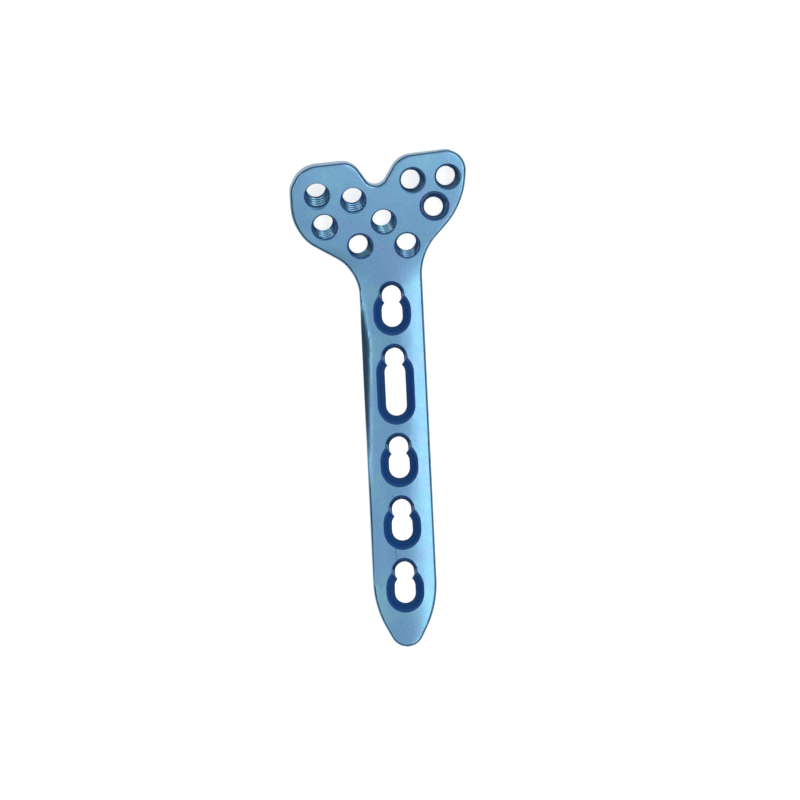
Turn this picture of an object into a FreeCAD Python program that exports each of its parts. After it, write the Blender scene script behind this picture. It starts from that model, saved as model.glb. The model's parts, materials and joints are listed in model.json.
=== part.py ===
"""Orthopaedic bone plate for the palm side of the lower radius, one solid piece.

The plate lies with its shaft along Y and its screw-entry side up. The origin is on the
shaft's flat underside, below the round end of the shaft's first hole, and the head is at +Y.
The head bends up from the shaft, more on its left lobe than on its right one.
All sizes are millimetres and all angles are degrees.
"""
import FreeCAD, Part
import math
import os
import Sketcher

NODE = "bone_plate"
V = FreeCAD.Vector
UP = V(0, 0, 1)

doc = FreeCAD.newDocument(NODE)


# Driving dimensions

sheet = doc.addObject("Spreadsheet::Sheet", "sizes")
rows_used = 0


def size(alias, number):
    """Keep one driving dimension in the sheet under its own name."""
    global rows_used
    rows_used += 1
    sheet.set("A%d" % rows_used, alias)
    sheet.set("B%d" % rows_used, str(number))
    sheet.setAlias("B%d" % rows_used, alias)


# The bar, its rounded top and the bend of its head
size("plate_thickness", 2.2)
size("crown_radius", 18.0)
size("crown_fade_start", 0.0)
size("crown_fade_end", 8.0)
size("bend_start", 1.0)
size("bend_end", 10.0)
size("head_slope", 0.22)
size("head_twist", 0.0065)
size("top_edge_radius", 0.5)
size("under_edge_break", 0.2)
size("grinding_depth", 0.02)

# The outline at mid thickness, a polygon with rounded corners: place across and along, radius
OUTLINE = [
    ("tip", 0.0, -56.35, 2.6),
    ("tip_right", 4.82, -47.3, 15.0),
    ("neck_right", 4.82, 6.25, 8.8),
    ("lobe_right_low", 11.62, 13.2, 12.0),
    ("lobe_right_top", 12.47, 21.86, 3.05),
    ("notch_right", 2.0, 20.93, 3.8),
    ("notch", -1.55, 15.2, 1.75),
    ("notch_left", -4.92, 20.42, 2.9),
    ("lobe_left_top", -14.62, 19.8, 4.5),
    ("lobe_left_low", -14.62, 9.95, 7.4),
    ("neck_left", -4.82, 3.97, 7.0),
    ("tip_left", -4.82, -47.2, 15.0),
]
for corner, across, along, radius in OUTLINE:
    size(corner + "_across", across)
    size(corner + "_along", along)
    size(corner + "_radius", radius)

# Locking holes: a short bore, a conical seat for a threaded screw head and a wider mouth
size("lock_bore_radius", 1.54)
size("lock_mouth_angle", 35.0)

# The head's locking holes: centre on the top face, how far across and along the bore has
# moved when it leaves the bone side, length of the bore, radii of the seat's top and the mouth
HEAD_HOLES = [
    ("ulnar_corner", -10.48, 15.32, -0.20, 1.68, 0.75, 1.80, 2.03),
    ("ulnar_inner", -5.04, 14.43, -0.27, 1.40, 0.60, 1.82, 2.05),
    ("ulnar_low", -9.58, 10.63, -0.32, 1.20, 0.50, 1.86, 2.08),
    ("middle", -0.62, 11.05, -0.41, 1.14, 0.55, 1.80, 2.02),
    ("neck_ulnar", -4.34, 7.50, -0.46, 0.65, 0.60, 1.84, 2.04),
    ("neck_radial", 2.78, 7.34, -0.18, 1.00, 0.50, 1.82, 2.04),
    ("radial_inner", 4.03, 17.08, -0.48, 0.32, 0.40, 1.88, 2.06),
    ("radial_corner", 9.36, 17.37, -0.45, 0.40, 0.40, 1.88, 2.06),
    ("radial_low", 7.16, 13.06, -0.17, 0.07, 0.40, 2.10, 2.32),
]
for hole, across, along, shift_across, shift_along, land, seat, mouth in HEAD_HOLES:
    size(hole + "_across", across)
    size(hole + "_along", along)
    size(hole + "_shift_across", shift_across)
    size(hole + "_shift_along", shift_along)
    size(hole + "_land", land)
    size(hole + "_seat", seat)
    size(hole + "_mouth", mouth)

# The shaft's combination holes: a locking round end that opens into a slot with a
# ball-shaped recess, in which the head of a plain screw can slide
size("combi_pitch", 9.5)
size("slot_near", 2.25)
size("slot_far", 3.25)
size("long_slot_far", 7.25)
size("slot_radius", 1.56)
size("shaft_land", 0.3)
size("shaft_seat", 1.98)
size("shaft_mouth", 2.10)
size("recess_radius", 3.07)
size("recess_land", 0.4)

# The bevel along the left edge of the shaft: where its inner edge lies, and its slope there
# and at the side of the shaft
size("bevel_inner_slope", 9.0)
size("bevel_outer_slope", 44.0)
size("bevel_deepest_across", -3.2)
size("bevel_deepest_along", -7.8)
size("bevel_turn", 1.5)
size("bevel_run_head", 0.165)
size("bevel_run_tip", 0.055)
size("bevel_lift", 20.0)
size("bevel_lift_start", 1.2)
size("bevel_lift_end", 13.2)

doc.recompute()


def value(alias):
    return float(sheet.get(alias))


def cell(alias):
    return "sizes." + alias


# The bent form of the plate

THICKNESS = value("plate_thickness")
BEND_START = value("bend_start")
BEND_LENGTH = value("bend_end") - BEND_START
SLOPE = value("head_slope")
TWIST = value("head_twist")


def smooth_step(part):
    """Goes from 0 to 1 with level ends."""
    part = min(max(part, 0.0), 1.0)
    return part * part * (3.0 - 2.0 * part)


def bend_run(along):
    """How far a point stands past the bend, setting in smoothly from nothing."""
    part = (along - BEND_START) / BEND_LENGTH
    if part <= 0.0:
        return 0.0
    if part >= 1.0:
        return (part - 0.5) * BEND_LENGTH
    return (part ** 3 - part ** 4 / 2.0) * BEND_LENGTH


def underside(across, along):
    """Height of the bone side; the left lobe climbs more steeply than the right one."""
    return (SLOPE - TWIST * across) * bend_run(along)


def rough_underside(across, along):
    """Height of the bone side before the shaft's part of it is ground flat."""
    return underside(across, along) - value("grinding_depth")


def gradient(across, along):
    """Slope of the bent plate across and along the shaft."""
    bent = smooth_step((along - BEND_START) / BEND_LENGTH)
    return -TWIST * bend_run(along), (SLOPE - TWIST * across) * bent


def crown_drop(across, along):
    """How far the rounded top of the shaft falls away from its middle line."""
    fade_start = value("crown_fade_start")
    faded = smooth_step((along - fade_start) / (value("crown_fade_end") - fade_start))
    return (1.0 - faded) * across ** 2 / (2.0 * value("crown_radius"))


def top(across, along):
    """Height of the top side; the plate is evenly thick when measured square to it."""
    sideways, forward = gradient(across, along)
    upright = THICKNESS * math.sqrt(1.0 + sideways ** 2 + forward ** 2)
    return underside(across, along) + upright - crown_drop(across, along)


def bevel(across, along):
    """Height of the bevel, which starts at its inner edge and steepens towards the side."""
    reach = along - value("bevel_deepest_along")
    run = value("bevel_run_head") if reach > 0.0 else value("bevel_run_tip")
    turn = value("bevel_turn")
    deepest = value("bevel_deepest_across")
    edge = deepest - run * (math.hypot(reach, turn) - turn)
    lift_start = value("bevel_lift_start")
    lifted = smooth_step((along - lift_start) / (value("bevel_lift_end") - lift_start))
    inner = math.tan(math.radians(value("bevel_inner_slope")))
    outer = math.tan(math.radians(value("bevel_outer_slope")))
    widest = deepest - value("neck_left_across")
    out = across - edge
    height = top(edge, along) + inner * out + lifted * value("bevel_lift")
    if out < 0.0:
        height -= (outer - inner) / (2.0 * widest) * out ** 2
    return height


# Outline sketch

def rounded_corners():
    """For each corner: where its arc starts and ends going round the plate, and its centre."""
    points = [V(value(c + "_across"), value(c + "_along"), 0) for c, _, _, _ in OUTLINE]
    corners = []
    for i, (corner, _, _, _) in enumerate(OUTLINE):
        here = points[i]
        back = (points[i - 1] - here).normalize()
        ahead = (points[(i + 1) % len(points)] - here).normalize()
        half = back.getAngle(ahead) / 2.0
        radius = value(corner + "_radius")
        reach = radius / math.tan(half)
        centre = here + (back + ahead).normalize() * (radius / math.sin(half))
        corners.append((here + back * reach, here + ahead * reach, centre))
    return points, corners


def arc_between(centre, first, last):
    """Arc that runs counter-clockwise from one point to another."""
    circle = Part.Circle(centre, UP, (first - centre).Length)
    begin = math.atan2(first.y - centre.y, first.x - centre.x)
    finish = math.atan2(last.y - centre.y, last.x - centre.x)
    if finish < begin:
        finish += 2.0 * math.pi
    return Part.ArcOfCircle(circle, begin, finish)


def fix(sketch, name, expression, constraint):
    """Add a named constraint whose size comes from the sheet."""
    index = sketch.addConstraint(constraint)
    sketch.renameConstraint(index, name)
    sketch.setExpression("Constraints." + name, expression)


def draw_outline():
    """Sketch the outline: straight sides joined by tangent arcs, fixed by their corners."""
    sketch = doc.addObject("Sketcher::SketchObject", "outline")
    points, corners = rounded_corners()
    count = len(corners)
    hollow = []
    for i, (start, end, centre) in enumerate(corners):
        turn = (points[i] - points[i - 1]).cross(points[(i + 1) % count] - points[i]).z
        hollow.append(turn < 0.0)
        first, last = (end, start) if hollow[i] else (start, end)
        sketch.addGeometry(arc_between(centre, first, last), False)
    for i in range(count):
        sketch.addGeometry(Part.LineSegment(corners[i][1], corners[(i + 1) % count][0]), False)
    for point in points:
        sketch.addGeometry(Part.Point(point), True)
    for i, (corner, _, _, _) in enumerate(OUTLINE):
        side_before = count + (i - 1) % count
        side_after = count + i
        mark = 2 * count + i
        first, last = (2, 1) if hollow[i] else (1, 2)
        sketch.addConstraint(Sketcher.Constraint("Tangent", side_before, 2, i, first))
        sketch.addConstraint(Sketcher.Constraint("Tangent", i, last, side_after, 1))
        sketch.addConstraint(Sketcher.Constraint("PointOnObject", mark, 1, side_before))
        sketch.addConstraint(Sketcher.Constraint("PointOnObject", mark, 1, side_after))
        point = points[i]
        for kind, suffix, place in (
            ("DistanceX", "_across", point.x),
            ("DistanceY", "_along", point.y),
        ):
            name = corner + suffix
            fix(sketch, name, cell(name), Sketcher.Constraint(kind, -1, 1, mark, 1, place))
        name = corner + "_radius"
        fix(sketch, name, cell(name), Sketcher.Constraint("Radius", i, value(name)))
    return sketch


outline = draw_outline()
doc.recompute()


# Walls: the outline carried through the plate square to its bent face

WALL_LOW = -2.0
WALL_HIGH = 8.0
LONGEST_STEP = 5.0
WIDEST_TURN = math.radians(22.0)
NUDGE = 1e-4


def leaned(point, level):
    """A point of the outline carried square to the plate from mid thickness to a level."""
    sideways, forward = gradient(point.x, point.y)
    middle = (underside(point.x, point.y) + top(point.x, point.y)) / 2.0
    rise = level - middle
    return V(point.x - sideways * rise, point.y - forward * rise, level)


def leaned_edge(edge, level):
    """An edge of the outline carried to a level; on the flat shaft it keeps its shape."""
    if edge.BoundBox.YMax <= BEND_START:
        upright = edge.copy()
        upright.translate(V(0, 0, level))
        return upright
    step = LONGEST_STEP
    if hasattr(edge.Curve, "Radius"):
        step = min(step, edge.Curve.Radius * WIDEST_TURN)
    count = max(4, math.ceil(edge.Length / step) + 1)
    first, last = edge.ParameterRange
    places = [first + (last - first) * i / (count - 1) for i in range(count)]
    points = [leaned(edge.valueAt(u), level) for u in places]
    tangents = []
    for u in (first, last):
        nudge = edge.Curve.tangent(u)[0].normalize() * NUDGE
        here = edge.valueAt(u)
        tangents.append((leaned(here + nudge, level) - leaned(here - nudge, level)).normalize())
    curve = Part.BSplineCurve()
    curve.interpolate(Points=points, InitialTangent=tangents[0], FinalTangent=tangents[1])
    return curve.toShape()


def leaned_outline(name, level):
    ring = doc.addObject("Part::Feature", name)
    edges = outline.Shape.Wires[0].OrderedEdges
    ring.Shape = Part.Wire([leaned_edge(edge, level) for edge in edges])
    return ring


walls = doc.addObject("Part::Loft", "walls")
walls.Sections = [leaned_outline("walls_low", WALL_LOW), leaned_outline("walls_high", WALL_HIGH)]
walls.Ruled = True
walls.Solid = True


# The broad faces: free-form skins that follow the bent form past the walls

BLOCK_HEIGHT = 12.0
WHOLE_PLATE = (-24.0, 21.0, 9.0), (-62.0, 31.0, 3.0)
BESIDE_SHAFT = (-8.0, -1.0, 1.0), (-44.0, 8.5, 1.5)


def grid_places(first, last, step):
    return [first + i * step for i in range(round((last - first) / step) + 1)]


def skin(name, height, across, along):
    """Skin through a grid of heights; across and along are each a first, a last and a step."""
    heights = []
    for x in grid_places(*across):
        heights.append([height(x, y) for y in grid_places(*along)])
    surface = Part.BSplineSurface()
    surface.interpolate(heights, across[0], across[2], along[0], along[2])
    face = doc.addObject("Part::Feature", name)
    face.Shape = surface.toShape()
    return face


def block(name, face, direction):
    """Solid that reaches from a skin straight up or down past the walls."""
    solid = doc.addObject("Part::Extrusion", name)
    solid.Base = face
    solid.DirMode = "Custom"
    solid.Dir = UP * direction
    solid.LengthFwd = BLOCK_HEIGHT
    solid.Solid = True
    return solid


blank = doc.addObject("Part::MultiCommon", "blank")
blank.Shapes = [
    walls,
    block("over_underside", skin("underside_skin", rough_underside, *WHOLE_PLATE), 1),
    block("below_top", skin("top_skin", top, *WHOLE_PLATE), -1),
]
doc.recompute()


# Rounded edges, the shaft's flat bone side and its bevel

GROUND_LENGTH = 80.0
GROUND_WIDTH = 30.0
GROUND_END = 15.0
GROUND_DEPTH = 1.0


def broad_faces(shape):
    """The two broad faces of the plate, the bone side first."""
    broad = sorted(shape.Faces, key=lambda face: face.Area)[-2:]
    return sorted(broad, key=lambda face: face.CenterOfMass.z)


def dress(kind, name, base, edges, alias):
    """Fillet or chamfer some edges of a body by a size from the sheet."""
    numbered = enumerate(base.Shape.Edges, 1)
    numbers = [n for n, edge in numbered if any(edge.isSame(side) for side in edges)]
    dressed = doc.addObject(kind, name)
    dressed.Base = base
    dressed.Edges = [(n, value(alias), value(alias)) for n in numbers]
    doc.recompute()
    return dressed


under_rim = broad_faces(blank.Shape)[0].OuterWire.Edges
under_broken = dress("Part::Chamfer", "under_broken", blank, under_rim, "under_edge_break")
top_rim = broad_faces(under_broken.Shape)[1].OuterWire.Edges
rounded = dress("Part::Fillet", "rounded", under_broken, top_rim, "top_edge_radius")

# A level cut takes the allowance off the shaft and ends where the head's bone side has
# climbed past it
allowance = doc.addObject("Part::Box", "grinding_allowance")
allowance.Length = GROUND_WIDTH
allowance.Width = GROUND_LENGTH
allowance.Height = GROUND_DEPTH
near_corner = V(-GROUND_WIDTH / 2.0, GROUND_END - GROUND_LENGTH, -GROUND_DEPTH)
allowance.Placement = FreeCAD.Placement(near_corner, FreeCAD.Rotation())
ground = doc.addObject("Part::Cut", "ground")
ground.Base = rounded
ground.Tool = allowance

bevelled = doc.addObject("Part::Cut", "bevelled")
bevelled.Base = ground
bevelled.Tool = block("over_bevel", skin("bevel_skin", bevel, *BESIDE_SHAFT), 1)
doc.recompute()


# Hole cutters

DRILL_DEPTH = 4.0
SEAT_RUN = 4.5
MOUTH_RUN = 0.8
SHAFT_HOLES = 5
LONG_HOLE = 1


def lock_cutters(name, kind, foot, axis, length):
    """Bore and conical seat on an axis from the bone side; kind names their sizes."""
    turn = FreeCAD.Rotation(UP, axis)
    bore = doc.addObject("Part::Cylinder", name + "_bore")
    bore.setExpression("Radius", cell("lock_bore_radius"))
    bore.Height = 2.0 * DRILL_DEPTH
    bore.Placement = FreeCAD.Placement(foot - axis * DRILL_DEPTH, turn)
    land = value(kind + "_land")
    widening = "(%s - %s) * %g" % (cell(kind + "_seat"), cell("lock_bore_radius"), SEAT_RUN)
    seat = doc.addObject("Part::Cone", name + "_seat")
    seat.setExpression("Radius1", cell("lock_bore_radius"))
    seat.setExpression("Radius2", "%s + %s / %g" % (cell("lock_bore_radius"), widening, length - land))
    seat.Height = SEAT_RUN
    seat.Placement = FreeCAD.Placement(foot + axis * land, turn)
    return bore, seat


def mouth_cutter(name, kind, centre, normal):
    """Cone square to the top side that opens a locking hole's rim."""
    widening = "%g * tan(%s * 1 deg)" % (MOUTH_RUN, cell("lock_mouth_angle"))
    mouth = doc.addObject("Part::Cone", name + "_mouth")
    mouth.setExpression("Radius1", "%s - %s" % (cell(kind + "_mouth"), widening))
    mouth.setExpression("Radius2", "%s + %s" % (cell(kind + "_mouth"), widening))
    mouth.Height = 2.0 * MOUTH_RUN
    turn = FreeCAD.Rotation(UP, normal)
    mouth.Placement = FreeCAD.Placement(centre - normal * MOUTH_RUN, turn)
    return mouth


def draw_stadium(name, far_alias):
    """Outline of a slot that runs from its near end towards the tip."""
    radius = value("slot_radius")
    near, far = V(0, -value("slot_near"), 0), V(0, -value(far_alias), 0)
    right, left = V(radius, 0, 0), V(-radius, 0, 0)
    sketch = doc.addObject("Sketcher::SketchObject", name)
    sketch.addGeometry(arc_between(near, near + right, near + left), False)
    sketch.addGeometry(Part.LineSegment(near + left, far + left), False)
    sketch.addGeometry(arc_between(far, far + left, far + right), False)
    sketch.addGeometry(Part.LineSegment(far + right, near + right), False)
    for before, after in ((0, 1), (1, 2), (2, 3), (3, 0)):
        sketch.addConstraint(Sketcher.Constraint("Tangent", before, 2, after, 1))
    sketch.addConstraint(Sketcher.Constraint("PointOnObject", 0, 3, -2))
    sketch.addConstraint(Sketcher.Constraint("PointOnObject", 2, 3, -2))
    fix(sketch, "radius", cell("slot_radius"), Sketcher.Constraint("Radius", 0, radius))
    fix(sketch, "near", cell("slot_near"), Sketcher.Constraint("DistanceY", 0, 3, -1, 1, -near.y))
    fix(sketch, "far", cell(far_alias), Sketcher.Constraint("DistanceY", 2, 3, -1, 1, -far.y))
    return sketch


def draw_recess(name, far_alias):
    """Half of a recess's long section, to be turned about its own length."""
    radius = value("recess_radius")
    near, far = -value("slot_near"), -value(far_alias)
    sketch = doc.addObject("Sketcher::SketchObject", name)
    sketch.addGeometry(Part.LineSegment(V(0, far - radius, 0), V(0, near + radius, 0)), False)
    sketch.addGeometry(arc_between(V(0, near, 0), V(radius, near, 0), V(0, near + radius, 0)), False)
    sketch.addGeometry(Part.LineSegment(V(radius, near, 0), V(radius, far, 0)), False)
    sketch.addGeometry(arc_between(V(0, far, 0), V(0, far - radius, 0), V(radius, far, 0)), False)
    sketch.addConstraint(Sketcher.Constraint("Coincident", 0, 2, 1, 2))
    sketch.addConstraint(Sketcher.Constraint("Tangent", 1, 1, 2, 1))
    sketch.addConstraint(Sketcher.Constraint("Tangent", 2, 2, 3, 2))
    sketch.addConstraint(Sketcher.Constraint("Coincident", 3, 1, 0, 1))
    sketch.addConstraint(Sketcher.Constraint("PointOnObject", 0, 1, -2))
    sketch.addConstraint(Sketcher.Constraint("PointOnObject", 0, 2, -2))
    sketch.addConstraint(Sketcher.Constraint("PointOnObject", 1, 3, -2))
    sketch.addConstraint(Sketcher.Constraint("PointOnObject", 3, 3, -2))
    fix(sketch, "radius", cell("recess_radius"), Sketcher.Constraint("Radius", 1, radius))
    fix(sketch, "near", cell("slot_near"), Sketcher.Constraint("DistanceY", 1, 3, -1, 1, -near))
    fix(sketch, "far", cell(far_alias), Sketcher.Constraint("DistanceY", 3, 3, -1, 1, -far))
    return sketch


def slot_cutter(name, sketch, place):
    solid = doc.addObject("Part::Extrusion", name)
    solid.Base = sketch
    solid.DirMode = "Custom"
    solid.Dir = UP
    solid.LengthFwd = DRILL_DEPTH
    solid.LengthRev = DRILL_DEPTH
    solid.Solid = True
    solid.Placement = FreeCAD.Placement(place, FreeCAD.Rotation())
    return solid


def recess_cutter(name, sketch, place):
    solid = doc.addObject("Part::Revolution", name)
    solid.Source = sketch
    solid.Axis = V(0, 1, 0)
    solid.Angle = 360.0
    solid.Solid = True
    height = value("recess_land") + math.sqrt(value("recess_radius") ** 2 - value("slot_radius") ** 2)
    solid.Placement = FreeCAD.Placement(place + UP * height, FreeCAD.Rotation())
    return solid


def head_axis(hole):
    """A head hole's centres on the bone side and on the top side, and the top side's normal."""
    across, along = value(hole + "_across"), value(hole + "_along")
    head = V(across, along, top(across, along))
    across += value(hole + "_shift_across")
    along += value(hole + "_shift_along")
    foot = V(across, along, underside(across, along))
    sideways, forward = gradient(head.x, head.y)
    return foot, head, V(-sideways, -forward, 1.0).normalize()


def shaft_places():
    """Centres of the round ends; the second hole's slot is longer and moves the rest on."""
    extra = value("long_slot_far") - value("slot_far")
    pitch = value("combi_pitch")
    return [V(0, -i * pitch - (extra if i > LONG_HOLE else 0.0), 0) for i in range(SHAFT_HOLES)]


def cut_all(name, base, tools):
    """Cut a set of tools out of the plate in one go."""
    bundle = doc.addObject("Part::MultiFuse", name + "_tools")
    bundle.Shapes = list(tools)
    result = doc.addObject("Part::Cut", name)
    result.Base = base
    result.Tool = bundle
    doc.recompute()
    return result


locks = []
head_mouths = []
for hole in [row[0] for row in HEAD_HOLES]:
    foot, head, normal = head_axis(hole)
    way = head - foot
    length = way.Length
    locks.append(lock_cutters(hole, hole, foot, way.normalize(), length))
    head_mouths.append(mouth_cutter(hole, hole, head, normal))

shaft_mouths = []
slots = []
recesses = []
short_sketches = draw_stadium("slot_short", "slot_far"), draw_recess("recess_short", "slot_far")
long_sketches = draw_stadium("slot_long", "long_slot_far"), draw_recess("recess_long", "long_slot_far")
for i, place in enumerate(shaft_places()):
    hole = "shaft_%d" % (i + 1)
    stadium, recess = long_sketches if i == LONG_HOLE else short_sketches
    locks.append(lock_cutters(hole, "shaft", place, UP, THICKNESS))
    shaft_mouths.append(mouth_cutter(hole, "shaft", place + UP * THICKNESS, UP))
    slots.append(slot_cutter(hole + "_slot", stadium, place))
    recesses.append(recess_cutter(hole + "_recess", recess, place))

bores, seats = zip(*locks)
plate = cut_all("bored", bevelled, bores)
plate = cut_all("seated", plate, seats)
plate = cut_all("head_mouths", plate, head_mouths)
plate = cut_all("shaft_mouths", plate, shaft_mouths)
plate = cut_all("slotted", plate, slots)
plate = cut_all("recessed", plate, recesses)
plate.Label = NODE


# Checks and files

def check():
    for thing in doc.Objects:
        if "Invalid" in thing.State or "Error" in thing.State:
            raise RuntimeError("%s did not build: %s" % (thing.Name, thing.State))
    if plate.Shape.isNull() or not plate.Shape.isValid() or len(plate.Shape.Solids) != 1:
        raise RuntimeError("the plate is not one valid solid")


check()
os.makedirs("parts", exist_ok=True)
plate.Shape.exportStep("parts/%s.step" % NODE)
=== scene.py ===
import json
import math

import bmesh
import bpy
from mathutils import Matrix, Vector
from mathutils.bvhtree import BVHTree


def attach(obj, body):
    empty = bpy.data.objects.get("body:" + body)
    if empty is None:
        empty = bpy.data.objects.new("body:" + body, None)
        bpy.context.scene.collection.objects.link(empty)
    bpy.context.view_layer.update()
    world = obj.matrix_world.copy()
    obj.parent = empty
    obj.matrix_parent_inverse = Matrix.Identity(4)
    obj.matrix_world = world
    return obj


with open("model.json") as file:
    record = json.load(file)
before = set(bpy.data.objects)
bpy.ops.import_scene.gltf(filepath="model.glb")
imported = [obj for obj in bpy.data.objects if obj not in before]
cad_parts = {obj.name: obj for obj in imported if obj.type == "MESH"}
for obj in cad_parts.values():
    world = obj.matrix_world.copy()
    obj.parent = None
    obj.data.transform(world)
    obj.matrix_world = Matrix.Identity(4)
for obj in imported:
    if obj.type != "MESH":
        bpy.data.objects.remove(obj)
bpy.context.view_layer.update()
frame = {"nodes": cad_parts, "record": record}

MM = 0.001
NODE = "bone_plate"
SLOT = "anodised_titanium"
plate = frame["nodes"][NODE]
lock_mounts = [mount for mount in frame["record"]["mounts"] if mount["name"].startswith("lock_")]


def add_object(name, data):
    """Puts an object with this mesh, light or camera into the scene."""
    made = bpy.data.objects.new(name, data)
    bpy.context.scene.collection.objects.link(made)
    return made


# Shader nodes

# Sockets of a colour Mix node, which has its socket names once for each kind of data
MIX_A = 6
MIX_B = 7
MIX_RESULT = 2


def node(tree, kind, **inputs):
    """Adds a shader node; names of inputs use _ for a space."""
    made = tree.nodes.new(kind)
    for name, value in inputs.items():
        made.inputs[name.replace("_", " ")].default_value = value
    return made


def link(tree, source, output, target, socket):
    """Joins two nodes; a socket is given by its name or its number."""
    tree.links.new(source.outputs[output], target.inputs[socket])


def maths(tree, operation):
    """Adds a node that works out one number from others."""
    made = tree.nodes.new("ShaderNodeMath")
    made.operation = operation
    return made


def multiplied(tree, source, output):
    """Adds a node that multiplies a colour by its socket B, as far as its factor says."""
    made = tree.nodes.new("ShaderNodeMix")
    made.data_type = "RGBA"
    made.blend_type = "MULTIPLY"
    link(tree, source, output, made, MIX_A)
    return made


def noise(tree, scale, detail, rough):
    """Adds noise in the object's own coordinates; the scale is per metre."""
    made = node(tree, "ShaderNodeTexNoise", Scale=scale, Detail=detail, Roughness=rough)
    place = tree.nodes.new("ShaderNodeTexCoord")
    link(tree, place, "Object", made, "Vector")
    return made


def ramp(tree, source, output, stops):
    """Turns a number into a colour; each stop is a number and its colour."""
    made = tree.nodes.new("ShaderNodeValToRGB")
    points = made.color_ramp.elements
    halfway = 0.5
    while len(points) < len(stops):
        points.new(halfway)
    for point, (at, color) in zip(points, stops):
        point.position = at
        point.color = color
    link(tree, source, output, made, "Fac")
    return made


def grey(level):
    return (level, level, level, 1.0)


# Anodised titanium

TEAL = (0.124, 0.264, 0.378, 1.0)
BLUE = (0.110, 0.236, 0.396, 1.0)
VIOLET = (0.130, 0.226, 0.400, 1.0)
TINTS = [(0.3, TEAL), (0.5, BLUE), (0.72, VIOLET)]
GRAIN_LEVELS = [(0.3, grey(0.88)), (0.7, grey(1.12))]
ROUGHNESS_LEVELS = [(0.3, grey(0.29)), (0.7, grey(0.32))]

# Scale, detail and roughness of the noise behind the tints, the grain, the gloss and the bump
DRIFT_NOISE = (260.0, 3.0, 0.6)
GRAIN_NOISE = (5200.0, 2.0, 0.7)
GLOSS_NOISE = (900.0, 2.0, 0.5)
BLAST_NOISE = (9000.0, 3.0, 0.65)
BLAST_STRENGTH = 0.12
BLAST_HEIGHT = 0.02 * MM

# The face attribute says how much painted shade a face gets: a darker blue and less metal, standing
# in for the dark of the holes and the bevel
PAINTED_SHADE_ATTRIBUTE = "painted_shade"
PAINTED_SHADE_TINT = (0.08, 0.26, 0.60, 1.0)
PAINTED_SHADE_METAL = 0.4


def anodised_titanium():
    """Blasted titanium with a thin blue oxide that drifts a little towards green and violet, with
    painted shade where the face attribute asks for it.
    """
    material = bpy.data.materials.new(SLOT)
    material.use_nodes = True
    tree = material.node_tree
    shader = tree.nodes["Principled BSDF"]
    shader.inputs["Specular IOR Level"].default_value = 0.0

    tints = ramp(tree, noise(tree, *DRIFT_NOISE), "Fac", TINTS)
    grain = ramp(tree, noise(tree, *GRAIN_NOISE), "Fac", GRAIN_LEVELS)
    mottled = multiplied(tree, tints, "Color")
    mottled.inputs["Factor"].default_value = 1.0
    link(tree, grain, "Color", mottled, MIX_B)

    # Painted shade: faces that the attribute marks get a darker blue and less metal
    painted_shade = tree.nodes.new("ShaderNodeAttribute")
    painted_shade.attribute_name = PAINTED_SHADE_ATTRIBUTE
    shaded_blue = multiplied(tree, mottled, MIX_RESULT)
    shaded_blue.inputs[MIX_B].default_value = PAINTED_SHADE_TINT
    link(tree, painted_shade, "Fac", shaded_blue, "Factor")
    link(tree, shaded_blue, MIX_RESULT, shader, "Base Color")
    shaded_metal = ramp(tree, painted_shade, "Fac", [(0.0, grey(1.0)), (1.0, grey(PAINTED_SHADE_METAL))])
    link(tree, shaded_metal, "Color", shader, "Metallic")

    roughness = ramp(tree, noise(tree, *GLOSS_NOISE), "Fac", ROUGHNESS_LEVELS)
    link(tree, roughness, "Color", shader, "Roughness")
    bump = node(tree, "ShaderNodeBump", Strength=BLAST_STRENGTH, Distance=BLAST_HEIGHT)
    link(tree, noise(tree, *BLAST_NOISE), "Fac", bump, "Height")
    link(tree, bump, "Normal", shader, "Normal")
    return material


# Painted shade: a darker blue on the walls of the holes and on the bevel left of the shaft,
# standing in for the dark they show

# A wall lies within this distance of the line on which its hole's axis runs
SEAT_REACH = 2.4 * MM
RECESS_REACH = 3.15 * MM

# How far a hole of the shaft runs on from its locking end
SLOT_RUN = 3.25 * MM
LONG_SLOT_RUN = 7.25 * MM
LONG_HOLE = "lock_shaft_2"

# How much painted shade each kind of face has
BEVEL_SHADE = 0.32
WALL_SHADE = 0.6
RECESS_SHADE = 0.88
STEEP_SHADE = 1.0

# The normal of a wall has less z than this, and that of a recess's steepest sides less still
WALL_UNDER = 0.92
STEEP_UNDER = 0.68

# The bevel's normal leans further left than this and has more z; it ends just inside the head
BEVEL_LEAN = -0.29
BEVEL_OVER = 0.6
BEVEL_END = 3.0 * MM


def hole_ranges():
    """For each hole: a point on its axis, the axis, how far the slot runs and the walls' reach."""
    ranges = []
    for mount in lock_mounts:
        run, reach = 0.0, SEAT_REACH
        if mount["name"].startswith("lock_shaft"):
            run = LONG_SLOT_RUN if mount["name"] == LONG_HOLE else SLOT_RUN
            reach = RECESS_REACH
        ranges.append((Vector(mount["pos_m"]), Vector(mount["axis"]).normalized(), run, reach))
    return ranges


def painted_shade_depth(face, ranges):
    """How much painted shade a face has, from none on the top to all on the steepest sides."""
    normal = face.normal
    shade = 0.0
    if face.center.y < BEVEL_END and normal.x < BEVEL_LEAN and normal.z > BEVEL_OVER:
        shade = BEVEL_SHADE
    for point, axis, run, reach in ranges:
        off = face.center - point
        off.y += min(max(-off.y, 0.0), run)
        off -= axis * off.dot(axis)
        if off.length < reach and abs(normal.z) < WALL_UNDER:
            recess = STEEP_SHADE if normal.z < STEEP_UNDER else RECESS_SHADE
            shade = recess if run > 0.0 else WALL_SHADE
    return shade


def paint_shade_on_faces(data):
    """Gives each face its share of painted shade."""
    shade_marks = data.attributes.new(PAINTED_SHADE_ATTRIBUTE, "FLOAT", "FACE")
    ranges = hole_ranges()
    for face in data.polygons:
        shade_marks.data[face.index].value = painted_shade_depth(face, ranges)


# Smooth shading of the top, by normals alone

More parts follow.
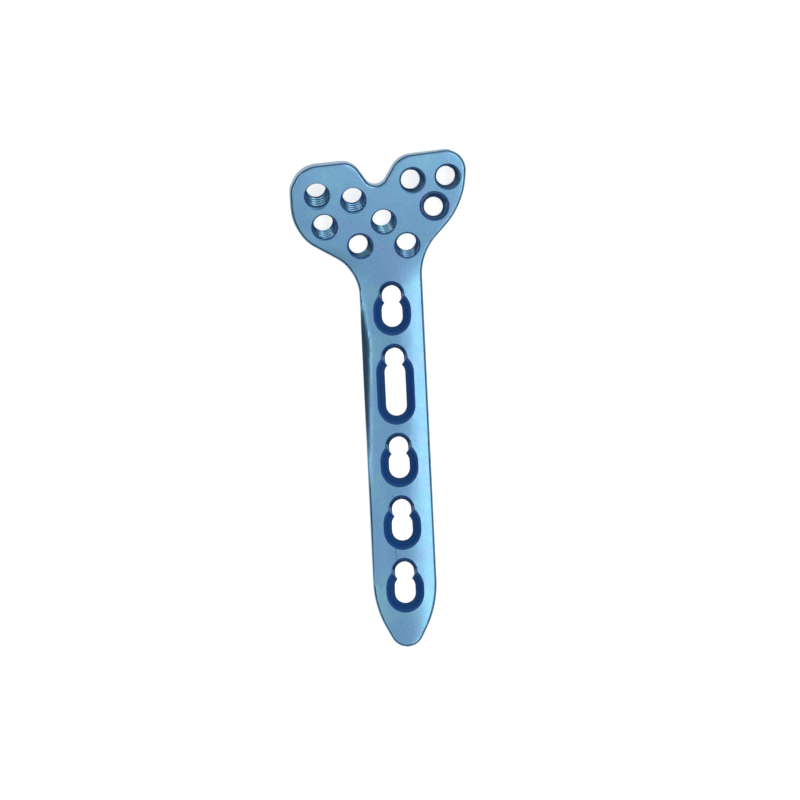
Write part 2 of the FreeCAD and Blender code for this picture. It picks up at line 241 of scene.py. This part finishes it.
# The normals of the top and of the holes' rims have more z than this
TOP_OVER = 0.9
RIM_OVER = 0.3

# Normals at one place that are less than this angle apart are averaged
SAME_PLACE = 0.002 * MM
SOFT_ANGLE = math.radians(14.0)

# A strip along the middle of the shaft is shaded as a round crown
CROWN_RADIUS = 18.0 * MM
CROWN_LEFT = -2.2 * MM
CROWN_RIGHT = -0.2 * MM
CROWN_END = 0.0


def soften_seams(data):
    """Shades the ground top smoothly over the faint seams between its faces, and rolls the rims."""
    shade_marks = data.attributes[PAINTED_SHADE_ATTRIBUTE].data
    places = [data.vertices[loop.vertex_index].co for loop in data.loops]
    tops, rims = {}, {}
    for face in data.polygons:
        rim = shade_marks[face.index].value > BEVEL_SHADE and face.normal.z > RIM_OVER
        if rim or face.normal.z > TOP_OVER:
            for corner in face.loop_indices:
                key = tuple(round(value / SAME_PLACE) for value in places[corner])
                (rims if rim else tops).setdefault(key, []).append((corner, face.area))
    normals = [corner.vector.copy() for corner in data.corner_normals]
    softened = list(normals)
    for key, group in tops.items():
        for corner, _ in group:
            place = places[corner]
            if CROWN_LEFT < place.x < CROWN_RIGHT and place.y < CROWN_END:
                normal = Vector((place.x / CROWN_RADIUS, 0.0, 1.0))
            else:
                near = [normals[other] * area for other, area in group
                        if normals[other].angle(normals[corner]) < SOFT_ANGLE]
                normal = sum(near, Vector())
            softened[corner] = normal.normalized()
        for rim, _ in rims.get(key, ()):
            softened[rim] = softened[group[0][0]]
    data.normals_split_custom_set(softened)


paint_shade_on_faces(plate.data)
soften_seams(plate.data)
titanium = anodised_titanium()
plate.data.materials.clear()
plate.data.materials.append(titanium)


# Threads in the locking holes

THREAD_PITCH = 0.42 * MM
THREAD_HALF_WIDTH = 0.15 * MM
STEPS_A_TURN = 64
FADE_STEPS = 5

# How far the crest stands out of the wall, and how far the ridge is rooted in it
THREAD_DEPTH = 0.11 * MM
THREAD_ROOT = 0.05 * MM

# Where a wall is looked for: up and down the axis from the mount, and out beyond the bore
THREAD_REACH = 2.4 * MM
WIDEST_OVER_BORE = 0.6 * MM

# A wall that carries thread faces the axis: its normal has less than this of the way outwards
FACES_AXIS = -0.9

bm = bmesh.new()
bm.from_mesh(plate.data)
walls = BVHTree.FromBMesh(bm)
bm.free()


def wall_radius(centre, outward, widest):
    """Distance from a hole's axis to its wall, or None where no steep wall faces the axis."""
    hit, normal, _, distance = walls.ray_cast(centre, outward, widest)
    if hit is None or normal.dot(outward) > FACES_AXIS:
        return None
    return distance


def thread_runs(middle, axis, radius):
    """The stretches of a helix along which the hole has a wall, as centres, ways out and radii."""
    across = axis.orthogonal().normalized()
    along = axis.cross(across)
    half = axis * THREAD_HALF_WIDTH
    runs = [[]]
    for step in range(round(2.0 * THREAD_REACH / THREAD_PITCH * STEPS_A_TURN)):
        height = THREAD_PITCH * step / STEPS_A_TURN - THREAD_REACH
        turn = 2.0 * math.pi * step / STEPS_A_TURN
        outward = across * math.cos(turn) + along * math.sin(turn)
        centre = middle + axis * height
        radii = [wall_radius(level, outward, radius + WIDEST_OVER_BORE)
                 for level in (centre - half, centre, centre + half)]
        if None in radii:
            runs.append([])
        else:
            runs[-1].append((centre, outward, radii[1]))
    return [run for run in runs if len(run) > 2 * FADE_STEPS]


def ridge(mesh, run, axis):
    """One unbroken stretch of thread: a three-sided ridge that fades out at both ends."""
    rows = []
    for i, (centre, outward, radius) in enumerate(run):
        fade = min(1.0, i / FADE_STEPS, (len(run) - 1 - i) / FADE_STEPS)
        root = radius + THREAD_ROOT
        crest = centre + outward * (root - fade * (THREAD_DEPTH + THREAD_ROOT))
        low = centre + outward * root - axis * THREAD_HALF_WIDTH
        high = centre + outward * root + axis * THREAD_HALF_WIDTH
        rows.append([mesh.verts.new(point) for point in (low, crest, high)])
    for before, after in zip(rows, rows[1:]):
        for a, b in ((0, 1), (1, 2), (2, 0)):
            mesh.faces.new((before[a], before[b], after[b], after[a]))
    mesh.faces.new(rows[0][::-1])
    mesh.faces.new(rows[-1])


def thread(mount):
    """Helical ridge that climbs the conical seat of a locking hole."""
    axis = Vector(mount["axis"]).normalized()
    mesh = bmesh.new()
    for run in thread_runs(Vector(mount["pos_m"]), axis, mount["dims"]["r_mm"] * MM):
        ridge(mesh, run, axis)
    bmesh.ops.recalc_face_normals(mesh, faces=mesh.faces)
    name = "thread_" + mount["name"].removeprefix("lock_")
    data = bpy.data.meshes.new(name)
    mesh.to_mesh(data)
    mesh.free()
    data.materials.append(titanium)
    made = add_object(name, data)
    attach(made, "root")


for lock_mount in lock_mounts:
    thread(lock_mount)


# Floor

FLOOR_SIZE = 4.0
FLOOR_WHITE = 0.5
FLOOR_ROUGHNESS = 0.9
FLOOR_GLOW = 0.74


def floor_material():
    """Matte floor with a soft shadow; its glow shows to the camera and in reflections alone."""
    material = bpy.data.materials.new("floor")
    material.use_nodes = True
    tree = material.node_tree
    shader = tree.nodes["Principled BSDF"]
    shader.inputs["Base Color"].default_value = grey(FLOOR_WHITE)
    shader.inputs["Roughness"].default_value = FLOOR_ROUGHNESS
    shader.inputs["Specular IOR Level"].default_value = 0.0
    glow = node(tree, "ShaderNodeEmission", Color=grey(1.0), Strength=FLOOR_GLOW)
    glowing = tree.nodes.new("ShaderNodeAddShader")
    link(tree, shader, "BSDF", glowing, 0)
    link(tree, glow, "Emission", glowing, 1)

    path = tree.nodes.new("ShaderNodeLightPath")
    mirrored = maths(tree, "MAXIMUM")
    link(tree, path, "Is Glossy Ray", mirrored, 0)
    link(tree, path, "Is Transmission Ray", mirrored, 1)
    looked_at = maths(tree, "MAXIMUM")
    link(tree, path, "Is Camera Ray", looked_at, 0)
    link(tree, mirrored, "Value", looked_at, 1)
    seen = tree.nodes.new("ShaderNodeMixShader")
    link(tree, looked_at, "Value", seen, "Fac")
    link(tree, shader, "BSDF", seen, 1)
    link(tree, glowing, "Shader", seen, 2)
    link(tree, seen, "Shader", tree.nodes["Material Output"], "Surface")
    return material


bpy.ops.mesh.primitive_plane_add(size=FLOOR_SIZE, location=(0.0, 0.0, 0.0))
floor = bpy.context.object
floor.name = "floor"
floor.data.materials.append(floor_material())


# Lamps, all at one distance from a point just over the middle of the plate

SHAFT_WAY = Vector((0.0, 1.0, 0.0))
LAMP_TARGET = Vector((0.0, -16.0 * MM, 2.0 * MM))
LAMP_DISTANCE = 1.0
LAMP_COLOR = (1.0, 1.0, 0.77)


def softbox(name, azimuth, tilt, width, length, power):
    """Area light aimed at the plate, with its length along the shaft.

    The azimuth is from +X towards +Y and the tilt from the zenith, both in degrees.
    """
    data = bpy.data.lights.new(name, "AREA")
    data.shape = "RECTANGLE"
    data.size = width
    data.size_y = length
    data.energy = power
    data.color = LAMP_COLOR
    lamp = add_object(name, data)
    turn, lean = math.radians(azimuth), math.radians(tilt)
    aside = math.sin(lean)
    way = Vector((aside * math.cos(turn), aside * math.sin(turn), math.cos(lean)))
    along = (SHAFT_WAY - way * way.dot(SHAFT_WAY)).normalized()
    axes = Matrix((along.cross(way), along, way)).transposed()
    lamp.location = LAMP_TARGET + way * LAMP_DISTANCE
    lamp.rotation_mode = "QUATERNION"
    lamp.rotation_quaternion = axes.to_quaternion()


softbox("key", azimuth=0.0, tilt=25.0, width=0.22, length=1.7, power=4.7)
softbox("left_strip", azimuth=180.0, tilt=35.5, width=0.04, length=1.0, power=2.0)


# World

# Light of the tent by the height of the way it comes from, 0 at the horizon and 1 overhead
TENT = [(0.0, grey(0.02)), (0.41, grey(0.06)), (0.56, grey(0.26)), (0.72, grey(1.0)),
        (0.87, grey(1.0)), (0.98, grey(0.95))]
TENT_STRENGTH = 1.24

# On the left the tent ends higher up: this share of the way left is taken off the height
LEFT_SIDE = 0.4


def studio():
    """Soft tent: bright overhead, dark near the floor."""
    world = bpy.data.worlds.new("studio")
    bpy.context.scene.world = world
    world.use_nodes = True
    tree = world.node_tree
    back = tree.nodes["Background"]
    back.inputs["Strength"].default_value = TENT_STRENGTH
    place = tree.nodes.new("ShaderNodeTexCoord")
    split = tree.nodes.new("ShaderNodeSeparateXYZ")
    link(tree, place, "Generated", split, "Vector")
    left = maths(tree, "MINIMUM")
    left.inputs[1].default_value = 0.0
    link(tree, split, "X", left, 0)
    height = maths(tree, "MULTIPLY_ADD")
    height.inputs[1].default_value = LEFT_SIDE
    link(tree, left, "Value", height, 0)
    link(tree, split, "Z", height, 2)
    link(tree, ramp(tree, height, "Value", TENT), "Color", back, "Color")


studio()


# Camera, as in the photograph, which is square

IMAGE_PIXELS = 800.0
PIXELS_A_MM = 6.6
SHAFT_LEAN = 0.0475

# The place in the middle of the picture and the height at which its scale holds, in millimetres
CENTRE = (0.560, -15.984)
SHAFT_TOP = 2.2

# Focal length and sensor in millimetres, and the nearest and furthest view in metres
LENS = 200.0
SENSOR = 36.0
CLIP_NEAR = 0.01
CLIP_FAR = 20.0


def add_camera():
    """Camera that looks straight down, turned so that the shaft leans as in the photograph."""
    data = bpy.data.cameras.new("camera")
    data.lens = LENS
    data.sensor_width = SENSOR
    data.clip_start = CLIP_NEAR
    data.clip_end = CLIP_FAR
    height = IMAGE_PIXELS * LENS / SENSOR / PIXELS_A_MM + SHAFT_TOP
    made = add_object("camera", data)
    made.location = (CENTRE[0] * MM, CENTRE[1] * MM, height * MM)
    made.rotation_euler = (0.0, 0.0, -math.atan(SHAFT_LEAN))
    bpy.context.scene.camera = made


add_camera()
bpy.context.scene.view_settings.view_transform = "Standard"
